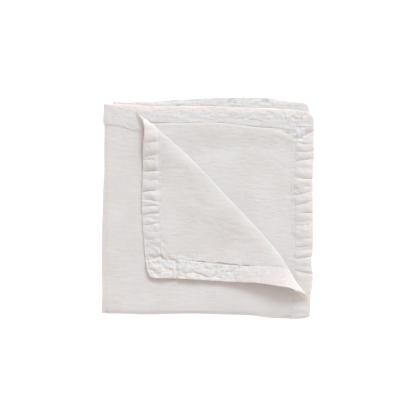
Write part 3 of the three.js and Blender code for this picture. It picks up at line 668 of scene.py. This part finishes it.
def side_frill_shape(across, along):
    """The frills on the long edges, through every leg of the fold"""
    point, leg, turned, in_turn = fold(across, along)
    from_edge = SIDE - np.abs(across)
    depth = np.clip(from_edge / FRILL_WIDTH, 0, 1)
    pinched = pinches(SIDE_PINCHES, across, along, SEED["side pinches"])
    above = gathers(FLAP_SIDE_VALLEYS, along, depth, SEED["flap side"])
    above = curve(FLAP_SIDE_HEIGHT, along) * above + curve(SIDE_PINCH_AMOUNT, along) * pinched
    below = gathers(SECOND_SIDE_VALLEYS, along, depth, SEED["second side"])
    below *= curve(SECOND_SIDE_HEIGHT, along)
    shown = frill_relief(point, across, along, turned, depth, above, below, SEED["side crumples"])
    shown += curve(FLAP_SIDE_LIFT, along) * (1 - depth) * (across > 0)
    flap, second = (even_waves(along, HIDDEN_WAVE, SEED[side]) for side in ("hidden flap", "hidden second"))
    hidden = HIDDEN_HEIGHT * np.where(across > 0, flap, second) * curve(GATHER_DEPTH, depth)
    settle = ease((along - FIRST_END) / SETTLE_RUN + 1)
    top = (leg == 0) & ~in_turn
    point[..., 2] += np.where(top, shown * (1 - settle), 0) + hidden * settle
    point[..., 1] += curve(FLAP_SIDE_DRAW, along) * (1 - depth) * (across > 0)
    loose = HIDDEN_EDGE_WANDER * soft_noise(along, along * 0, HIDDEN_EDGE_SIZE, 1, SEED["hidden edge"])
    point[..., 0] += np.where(top, 0, loose * (1 - depth))
    flush = 1 - ease((along - FLUSH_FROM) / FLUSH_RUN) * top
    seam = from_edge + flap_seam_shift(across, along)
    groove = np.where(across > 0, curve(FLAP_SIDE_GROOVE, along), SECOND_SIDE_GROOVE)
    tucked = tuck(seam, groove) * flush
    return raised(point, -tucked, across, along)


def last_frill_shape(across, along):
    """The frill on the end that lies lowest, which sticks out beyond the rest"""
    point = plain_fold(across, along)
    from_edge = RUNNER_LENGTH - along
    depth = np.clip(from_edge / FRILL_WIDTH, 0, 1)
    y = point[..., 1]
    clear = ease((y - LAST_END_CLEAR_Y) / LAST_END_CLEAR_RUN)
    hills = LAST_END_LEVEL + crumples(LAST_END_CRUMPLES, across, along, SEED["last end"])
    hills += pinches(END_PINCHES, across, along, SEED["last pinches"])
    hills *= LAST_END_EVEN_SHARE + (1 - LAST_END_EVEN_SHARE) * curve(GATHER_DEPTH, depth)
    small = crumples(FRILL_CRUMPLES, across, along, SEED["last crumples"])
    slope = 1 - 2 * ease((y - LAST_END_TILT_FROM) / LAST_END_TILT_RUN)
    tilt = LAST_END_TILT * slope * ease((y - LAST_END_TILT_START) / LAST_END_TILT_RISE)
    point[..., 2] += (LAST_END_HEIGHT * hills + small) * clear + tilt
    return raised(point, -tuck(from_edge, 0), across, along)


def spaced(start, end, step):
    """Evenly spaced values from one end to the other, no further apart than the step"""
    return np.linspace(start, end, max(1, math.ceil(abs(end - start) / step - TINY)) + 1)


def both_leaves(leaf):
    """Places across both leaves, given those of one"""
    middle = spaced(-EDGE_FOLD_RADIUS, EDGE_FOLD_RADIUS, 2 * EDGE_FOLD_RADIUS / EDGE_FOLD_STEPS)
    return np.concatenate((-leaf[::-1], middle[1:-1], leaf))


def along_places(start, end, top_step, hidden_step):
    """Places along the cloth, fine on the top leg and in the turns"""
    places = []
    for number in range(LEGS):
        leg_start = max(LEG_START[number], start)
        leg_end = min(LEG_START[number] + LEG_LENGTH[number], end)
        places.append(spaced(leg_start, leg_end, hidden_step if number else top_step))
        if number < LEGS - 1:
            turn_end = leg_end + math.pi * TURN_RADIUS
            places.append(spaced(leg_end, turn_end, (turn_end - leg_end) / TURN_STEPS)[1:-1])
    return np.unique(np.round(np.concatenate(places), PLACE_DECIMALS))


class Sheet:
    """A closed sheet of cloth, made from rows of points in the flat cloth"""

    def __init__(self, shape):
        self.shape = shape
        self.across = []
        self.along = []
        self.triangles = []

    def row(self, across, along):
        """Adds a row of points, and gives their numbers"""
        across, along = np.broadcast_arrays(np.asarray(across, float), np.asarray(along, float))
        first = len(self.across)
        self.across.extend(across)
        self.along.extend(along)
        return range(first, first + len(across))

    def join(self, row_a, row_b, places):
        """Joins two rows, whatever their numbers, stepping along whichever is behind"""
        i = j = 0
        last_a, last_b = len(row_a) - 1, len(row_b) - 1
        while i < last_a or j < last_b:
            step_a = j == last_b
            if i < last_a and j < last_b:
                ahead_a = places[row_a[i + 1]] + places[row_a[i]]
                step_a = ahead_a < places[row_b[j + 1]] + places[row_b[j]] - TINY
            if step_a:
                i += 1
                self.triangles.append((row_a[i - 1], row_a[i], row_b[j]))
            else:
                j += 1
                self.triangles.append((row_a[i], row_b[j], row_b[j - 1]))

    def join_all(self, rows, places):
        for row_a, row_b in zip(rows, rows[1:]):
            self.join(row_a, row_b, places)

    def facing_out(self):
        """The triangles that have an area in the flat cloth, all wound one way"""
        triangles = np.array(self.triangles)
        flat = np.stack((self.across, self.along), -1)
        p, q, r = (flat[triangles[:, k]] for k in range(3))
        area = (q[:, 0] - p[:, 0]) * (r[:, 1] - p[:, 1]) - (r[:, 0] - p[:, 0]) * (q[:, 1] - p[:, 1])
        triangles = np.where((area > 0)[:, None], triangles, triangles[:, (0, 2, 1)])
        return triangles[np.abs(area) > TINY]

    def mesh(self, name, thickness):
        """The two faces, half a thickness off the middle of the cloth, and a rounded rim round every edge"""
        across, along = np.array(self.across), np.array(self.along)
        middle = self.shape(across, along)
        middle[:, 2] = np.maximum(middle[:, 2], thickness / 2)
        normal = cloth_normal(self.shape, across, along)
        count = len(across)
        faces = self.facing_out()
        edges = np.concatenate([faces[:, pair] for pair in ((0, 1), (1, 2), (2, 0))])
        keys = edges[:, 0] * count + edges[:, 1]
        rim = edges[~np.isin(keys, edges[:, 1] * count + edges[:, 0])]
        outward = np.zeros((count, 3))
        side = np.cross(middle[rim[:, 1]] - middle[rim[:, 0]], normal[rim[:, 0]])
        side /= np.linalg.norm(side, axis=1, keepdims=True) + TINY
        np.add.at(outward, rim[:, 0], side)
        np.add.at(outward, rim[:, 1], side)
        rounded = np.unique(rim)
        out = outward[rounded] / (np.linalg.norm(outward[rounded], axis=1, keepdims=True) + TINY)
        rim_number = np.zeros(count, int)
        rim_number[rounded] = 2 * count + np.arange(len(rounded))
        half = thickness / 2
        out, away = out * half, normal * half
        points = np.concatenate((middle + away, middle - away, middle[rounded] + out))
        a, b = rim[:, 0], rim[:, 1]
        top_rim = np.stack((a, rim_number[a], rim_number[b], b), -1)
        low_rim = np.stack((rim_number[a], a + count, b + count, rim_number[b]), -1)
        triangles = np.concatenate((faces, faces[:, ::-1] + count)).tolist()
        polygons = triangles + np.concatenate((top_rim, low_rim)).tolist()
        points[:, :2] -= BUNDLE_MIDDLE
        points[:, 2] = np.maximum(points[:, 2], 0)
        data = bpy.data.meshes.new(name)
        data.from_pydata((points * METRE).tolist(), [], polygons)
        flat = np.stack((across, along), -1) * METRE
        flat = np.concatenate((flat, flat, flat[rounded]))
        corner_point = np.empty(len(data.loops), np.int32)
        data.loops.foreach_get("vertex_index", corner_point)
        cloth_map = data.uv_layers.new(name="Cloth")
        cloth_map.data.foreach_set("uv", flat[corner_point].astype(np.float32).ravel())
        data.validate()
        return data


def panel_mesh(thickness):
    sheet = Sheet(panel_shape)
    fine = both_leaves(spaced(EDGE_FOLD_RADIUS, PANEL_EDGE, TOP_STEP))
    coarse = both_leaves(spaced(EDGE_FOLD_RADIUS, PANEL_EDGE, HIDDEN_STEP))
    places = along_places(FRILL_WIDTH, RUNNER_LENGTH - FRILL_WIDTH, TOP_STEP, HIDDEN_STEP)
    rows = [sheet.row(fine if along <= FIRST_END + TINY else coarse, along) for along in places]
    sheet.join_all(rows, sheet.across)
    return sheet.mesh("linen_panel_cloth", thickness)


def corner_cut(across):
    """How deep the rounded corner of a frill cuts in"""
    into = np.clip(np.abs(across) - (SIDE - CORNER_RADIUS), 0, CORNER_RADIUS)
    return CORNER_RADIUS - np.sqrt(CORNER_RADIUS**2 - into**2)


def end_frill_mesh(name, shape, outer_along, inward, thickness):
    """A frill across one end, round the lengthwise fold and out to both rounded corners"""
    sheet = Sheet(shape)
    across = both_leaves(spaced(EDGE_FOLD_RADIUS, SIDE, FRILL_STEP))
    rows = []
    under_corner = CORNER_TUCK * ease((across - CORNER_TUCK_FROM) / CORNER_TUCK_RUN)
    under_corner *= ease((PANEL_EDGE - across) / CORNER_TUCK_END_RUN)
    beyond = TUCK + under_corner + seam_draw(across) * (inward > 0)
    for share in np.linspace(0, 1, FRILL_ROWS):
        depth = corner_cut(across) * (1 - share) + FRILL_WIDTH * share
        rows.append(sheet.row(across, outer_along + inward * depth))
    sheet.join_all(rows, sheet.across)
    under = np.abs(across) <= PANEL_EDGE
    sewn = [number for number, is_under in zip(rows[-1], under) if is_under]
    tucked = [
        sheet.row(across[under], outer_along + inward * (FRILL_WIDTH + share * beyond[under]))
        for share in np.linspace(0, 1, TUCK_ROWS)[1:]
    ]
    sheet.join_all([sewn, *tucked], sheet.across)
    return sheet.mesh(name, thickness)


def side_frill_mesh(name, sign, thickness):
    """A frill along one long edge"""
    sheet = Sheet(side_frill_shape)
    start = FRILL_WIDTH + CLOSE_GAP
    places = along_places(start, RUNNER_LENGTH - start, FRILL_STEP, HIDDEN_FRILL_STEP)
    rows = []
    for share in np.linspace(0, 1, FRILL_ROWS):
        rows.append(sheet.row(sign * (SIDE - share * (FRILL_WIDTH + TUCK)), places))
    sheet.join_all(rows, sheet.along)
    return sheet.mesh(name, thickness)


class Value:
    """A node socket that Python's operators turn into Math nodes"""

    def __init__(self, shader, socket):
        self.shader = shader
        self.socket = socket

    def with_math(self, operation, *others):
        return self.shader.node("ShaderNodeMath", {"operation": operation}, (self, *others))

    def __add__(self, other):
        return self.with_math("ADD", other)

    def __sub__(self, other):
        return self.with_math("SUBTRACT", other)

    def __rsub__(self, other):
        return self.shader.node("ShaderNodeMath", {"operation": "SUBTRACT"}, (other, self))

    def __mul__(self, other):
        return self.with_math("MULTIPLY", other)

    def __truediv__(self, other):
        return self.with_math("DIVIDE", other)

    def sine(self):
        return self.with_math("SINE")

    def size(self):
        return self.with_math("ABSOLUTE")

    def least(self, other):
        return self.with_math("MINIMUM", other)

    def from_to(self, low, high):
        """0 below low, 1 above high and a smooth step between"""
        settings = {"interpolation_type": "SMOOTHSTEP"}
        return self.shader.node("ShaderNodeMapRange", settings, (self, low, high, 0.0, 1.0))


class Shader:
    """One material's nodes"""

    def __init__(self, name):
        self.material = bpy.data.materials.new(name)
        self.material.use_nodes = True
        self.tree = self.material.node_tree
        self.surface = self.tree.nodes["Principled BSDF"]

    def link(self, value, socket):
        if isinstance(value, Value):
            self.tree.links.new(value.socket, socket)
        else:
            socket.default_value = value

    def node(self, kind, settings, inputs, output=0):
        """Adds a node: its settings first, then the values or links of its sockets, by order or by name"""
        node = self.tree.nodes.new(kind)
        for name, setting in settings.items():
            setattr(node, name, setting)
        named = inputs.items() if isinstance(inputs, dict) else enumerate(inputs)
        for name, value in named:
            self.link(value, node.inputs[name])
        return Value(self, node.outputs[output])

    def noise(self, place, scale, detail=2.0, roughness=0.5):
        inputs = {"Vector": place, "Scale": scale, "Detail": detail, "Roughness": roughness}
        return self.node("ShaderNodeTexNoise", {}, inputs, "Fac")

    def stretched(self, place, x, y):
        """The place with each direction multiplied"""
        return self.node("ShaderNodeVectorMath", {"operation": "MULTIPLY"}, (place, (x, y, 1.0)))

    def mix(self, share, a, b):
        """Mixes two colours, whose sockets come after those for numbers and vectors"""
        return self.node("ShaderNodeMix", {"data_type": "RGBA"}, {0: share, 6: a, 7: b}, 2)


# The linen's relief, in metres and times a metre. Threads, slubs and wrinkles are long one way and fine the
# other
THREADS = 1300.0
THREAD_LENGTH = 22.0
THREAD_HEIGHT = 0.00005
SLUBS = (90.0, 430.0)
SLUB_HEIGHT = 0.0001
CRUMPLES = 150.0
CRUMPLE_HEIGHT = 0.0002
WRINKLES = (70.0, 230.0)
WRINKLE_HEIGHT = 0.0008
ROUGH_NOISE = 0.6

# The faint changes of tone: how many a metre, how sharp, and how much lighter and darker they are
BLOTCHES = 22.0
BLOTCH_EDGES = (0.35, 0.65)
TONE_SPREAD = 0.025

# The hem's row of stitches, in metres, and how soft its sides and its stitches' ends are
STITCH_INSET = 0.005
STITCH_PITCH = 0.003
STITCH_WIDTH = 0.0004
STITCH_DEPTH = 0.00012
STITCH_SIDES = (0.5, 1.5)
STITCH_ENDS = (-0.7, -0.3)

# How the cloth takes the light, which seeps a little way into it
LINEN_SURFACE = {
    "Roughness": 0.9,
    "Specular IOR Level": 0.2,
    "Sheen Weight": 0.1,
    "Subsurface Weight": 0.45,
    "Subsurface Radius": (0.003, 0.0016, 0.0011),
    "Subsurface Scale": 1.0,
}


def linen(name, colour, stitched):
    """Washed plain-weave linen: threads both ways, thick and thin places, small crumples and, where it is
    stitched, a hem"""
    shader = Shader(name)
    flat = shader.node("ShaderNodeUVMap", {"uv_map": "Cloth"}, ())
    place = shader.node("ShaderNodeTexCoord", {}, (), "Object")
    along_thread = shader.noise(shader.stretched(flat, THREADS / THREAD_LENGTH, THREADS), 1.0, 1.0)
    cross_thread = shader.noise(shader.stretched(flat, THREADS, THREADS / THREAD_LENGTH), 1.0, 1.0)
    slub_along = shader.noise(shader.stretched(flat, *SLUBS), 1.0, 2.0)
    slub_cross = shader.noise(shader.stretched(flat, *SLUBS[::-1]), 1.0, 2.0)
    wrinkle = shader.noise(shader.stretched(place, *WRINKLES), 1.0, 3.0, ROUGH_NOISE)
    crumple = shader.noise(flat, CRUMPLES, 3.0, ROUGH_NOISE)
    tone = shader.noise(flat, BLOTCHES, 3.0).from_to(*BLOTCH_EDGES)
    threads = (along_thread + cross_thread) * THREAD_HEIGHT
    slubs = (slub_along + slub_cross) * SLUB_HEIGHT
    height = threads + slubs + crumple * CRUMPLE_HEIGHT + wrinkle * WRINKLE_HEIGHT
    if stitched:
        height = height - stitches(shader, flat) * STITCH_DEPTH
    light = tuple(min(1.0, c * (1 + TONE_SPREAD)) for c in colour)
    dark = tuple(c * (1 - TONE_SPREAD) for c in colour)
    shader.link(shader.mix(tone, (*dark, 1.0), (*light, 1.0)), shader.surface.inputs["Base Color"])
    bump = shader.node("ShaderNodeBump", {}, {"Strength": 1.0, "Distance": 1.0, "Height": height})
    shader.link(bump, shader.surface.inputs["Normal"])
    for socket, value in LINEN_SURFACE.items():
        shader.surface.inputs[socket].default_value = value
    return shader.material


def stitches(shader, flat):
    """The row of stitches that holds the panel's hem, as a mask"""
    across, along = (shader.node("ShaderNodeSeparateXYZ", {}, (flat,), axis) for axis in "XY")
    side = PANEL_EDGE * METRE - across.size()
    ends = (along - FRILL_WIDTH * METRE).least((RUNNER_LENGTH - FRILL_WIDTH) * METRE - along)
    row = 0
    for distance, travel in ((side, along), (ends, across)):
        line = 1.0 - ((distance - STITCH_INSET).size() / STITCH_WIDTH).from_to(*STITCH_SIDES)
        dash = (travel * (2 * math.pi / STITCH_PITCH)).sine().from_to(*STITCH_ENDS)
        inside = (side.least(ends) - STITCH_INSET + 2 * STITCH_WIDTH).from_to(0.0, STITCH_WIDTH)
        row = line * dash * inside + row
    return row


def plain_floor(colour):
    """The floor's matt material, which glows a little so that it stays plain"""
    shader = Shader("floor")
    shader.link((*colour, 1.0), shader.surface.inputs["Base Color"])
    shader.link((*colour, 1.0), shader.surface.inputs["Emission Color"])
    shader.link(FLOOR_ROUGHNESS, shader.surface.inputs["Roughness"])
    shader.link(FLOOR_GLOW, shader.surface.inputs["Emission Strength"])
    return shader.material


def add_object(name, data):
    added = bpy.data.objects.new(name, data)
    bpy.context.scene.collection.objects.link(added)
    return added


def finish_sheet(data, node, material):
    """Puts a sheet's mesh in the scene as the finished piece that stands for a node"""
    bpy.ops.object.select_all(action="DESELECT")
    piece = add_object(data.name, data)
    data.materials.append(material)
    bpy.context.view_layer.objects.active = piece
    piece.select_set(True)
    bpy.ops.object.shade_smooth_by_angle(angle=math.radians(SMOOTH_ANGLE))
    piece.select_set(False)
    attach(piece, "root")
    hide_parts(node)


CLOTH_LIMITS = {"min": 0.0003, "max": 0.0012}


def length_setting(name, description, default, **limits):
    return bpy.props.FloatProperty(
        name=name, description=description, default=default, precision=5, unit="LENGTH", **limits
    )


def colour_setting(name, description, default):
    return bpy.props.FloatVectorProperty(
        name=name, description=description, default=default, min=0, max=1, subtype="COLOR"
    )


class RunnerSizes(bpy.types.PropertyGroup):
    panel_thickness: length_setting("Panel cloth", "Thickness of the panel's linen", 0.0007, **CLOTH_LIMITS)
    frill_thickness: length_setting("Frill cloth", "Thickness of the frills' linen", 0.0006, **CLOTH_LIMITS)
    floor_width: length_setting("Floor", "Width of the floor", 6.0, min=1.0)


class RunnerColours(bpy.types.PropertyGroup):
    panel: colour_setting("Panel", "Colour of the panel's linen", (0.798, 0.757, 0.732))
    frill: colour_setting("Frills", "Colour of the frills' linen", (0.808, 0.767, 0.742))
    floor: colour_setting("Floor", "Colour of the floor", (0.95, 0.95, 0.95))


class RUNNER_OT_panel(bpy.types.Operator):
    """Makes the folded linen panel"""

    bl_idname = "runner.panel"
    bl_label = "Linen panel"

    def execute(self, context):
        sizes, colours = context.scene.runner_sizes, context.scene.runner_colours
        data = panel_mesh(sizes.panel_thickness / METRE)
        cloth = linen("linen", colours.panel, True)
        finish_sheet(data, "linen_panel", cloth)
        return {"FINISHED"}


class RUNNER_OT_frills(bpy.types.Operator):
    """Makes the four gathered frills"""

    bl_idname = "runner.frills"
    bl_label = "Frills"

    def execute(self, context):
        sizes, colours = context.scene.runner_sizes, context.scene.runner_colours
        cloth = linen("frill_linen", colours.frill, False)
        thickness = sizes.frill_thickness / METRE
        end_length = RUNNER_WIDTH * METRE
        side_length = (RUNNER_LENGTH - 2 * FRILL_WIDTH) * METRE
        first = end_frill_mesh("frill_first_end_cloth", end_frill_shape, 0, 1, thickness)
        last = end_frill_mesh("frill_last_end_cloth", last_frill_shape, RUNNER_LENGTH, -1, thickness)
        flap = side_frill_mesh("frill_flap_side_cloth", 1, thickness)
        under = side_frill_mesh("frill_under_side_cloth", -1, thickness)
        for data, node, length in (
            (first, "frill_first_end", end_length),
            (last, "frill_last_end", end_length),
            (flap, "frill_flap_side", side_length),
            (under, "frill_under_side", side_length),
        ):
            finish_sheet(data, node, cloth)
        return {"FINISHED"}


# The picture: the camera looks straight down, and the light comes from the upper right. Places and widths of
# the view are in millimetres, and the camera and the lights stand in metres and degrees
VIEW_CENTRE = (0.44, -0.15)
VIEW_WIDTH = 497.5
VIEW_HEIGHT = 16
CAMERA_DISTANCE = 3.0
SENSOR_WIDTH = 36.0
KEY_DISTANCE = 8.0
KEY_ELEVATION = 36
KEY_HEADING = 72
KEY_SIZE = 3.4
KEY_POWER = 335.0
KEY_COLOUR = (0.852, 0.967, 1.071)
ROOM_LIGHT = 0.735
ROOM_COLOUR = (1.078, 0.943, 0.900)
FLOOR_GLOW = 0.5
FLOOR_ROUGHNESS = 0.9
FLOOR_SIDES = 64
VIEW_END = 100


def add_floor(width, colour):
    bpy.ops.object.select_all(action="DESELECT")
    bpy.ops.mesh.primitive_circle_add(vertices=FLOOR_SIDES, radius=width / 2, fill_type="NGON")
    floor = bpy.context.object
    floor.name = "floor"
    floor.data.materials.append(plain_floor(colour))


def add_camera():
    data = bpy.data.cameras.new("overhead")
    camera = add_object("overhead", data)
    x, y = VIEW_CENTRE
    camera.location = (x * METRE, y * METRE, CAMERA_DISTANCE + VIEW_HEIGHT * METRE)
    data.sensor_width = SENSOR_WIDTH
    data.lens = SENSOR_WIDTH * CAMERA_DISTANCE / (VIEW_WIDTH * METRE)
    data.clip_end = VIEW_END
    bpy.context.scene.camera = camera


def add_lights():
    heading, elevation = math.radians(KEY_HEADING), math.radians(KEY_ELEVATION)
    flat = KEY_DISTANCE * math.cos(elevation)
    place = (flat * math.cos(heading), flat * math.sin(heading), KEY_DISTANCE * math.sin(elevation))
    data = bpy.data.lights.new("key", "AREA")
    data.shape = "DISK"
    data.size = KEY_SIZE
    data.energy = KEY_POWER
    data.color = KEY_COLOUR
    light = add_object("key", data)
    light.location = place
    light.rotation_euler = (math.pi / 2 - elevation, 0, heading + math.pi / 2)
    world = bpy.data.worlds.new("room")
    world.use_nodes = True
    world.node_tree.nodes["Background"].inputs["Color"].default_value = (*ROOM_COLOUR, 1)
    world.node_tree.nodes["Background"].inputs["Strength"].default_value = ROOM_LIGHT
    bpy.context.scene.world = world
    bpy.context.scene.view_settings.view_transform = "Standard"


class RUNNER_OT_stage(bpy.types.Operator):
    """Makes the floor, the lights and the camera"""

    bl_idname = "runner.stage"
    bl_label = "Stage"

    def execute(self, context):
        add_floor(context.scene.runner_sizes.floor_width, context.scene.runner_colours.floor)
        add_camera()
        add_lights()
        return {"FINISHED"}


class RUNNER_PT_pieces(bpy.types.Panel):
    """Lists the pieces of the runner"""

    bl_idname = "RUNNER_PT_pieces"
    bl_label = "Folded table runner"
    bl_space_type = "VIEW_3D"
    bl_region_type = "UI"
    bl_category = "Runner"

    def draw(self, context):
        for group in (context.scene.runner_sizes, context.scene.runner_colours):
            for name in group.__annotations__:
                self.layout.prop(group, name)
        for operator in (RUNNER_OT_stage, RUNNER_OT_panel, RUNNER_OT_frills):
            self.layout.operator(operator.bl_idname)


CLASSES = (
    RunnerSizes,
    RunnerColours,
    RUNNER_OT_panel,
    RUNNER_OT_frills,
    RUNNER_OT_stage,
    RUNNER_PT_pieces,
)


def register():
    for each in CLASSES:
        bpy.utils.register_class(each)
    bpy.types.Scene.runner_sizes = bpy.props.PointerProperty(type=RunnerSizes)
    bpy.types.Scene.runner_colours = bpy.props.PointerProperty(type=RunnerColours)


def unregister():
    del bpy.types.Scene.runner_colours
    del bpy.types.Scene.runner_sizes
    for each in reversed(CLASSES):
        bpy.utils.unregister_class(each)


def main():
    register()
    bpy.ops.runner.stage()
    bpy.ops.runner.panel()
    bpy.ops.runner.frills()


if __name__ == "__main__":
    main()
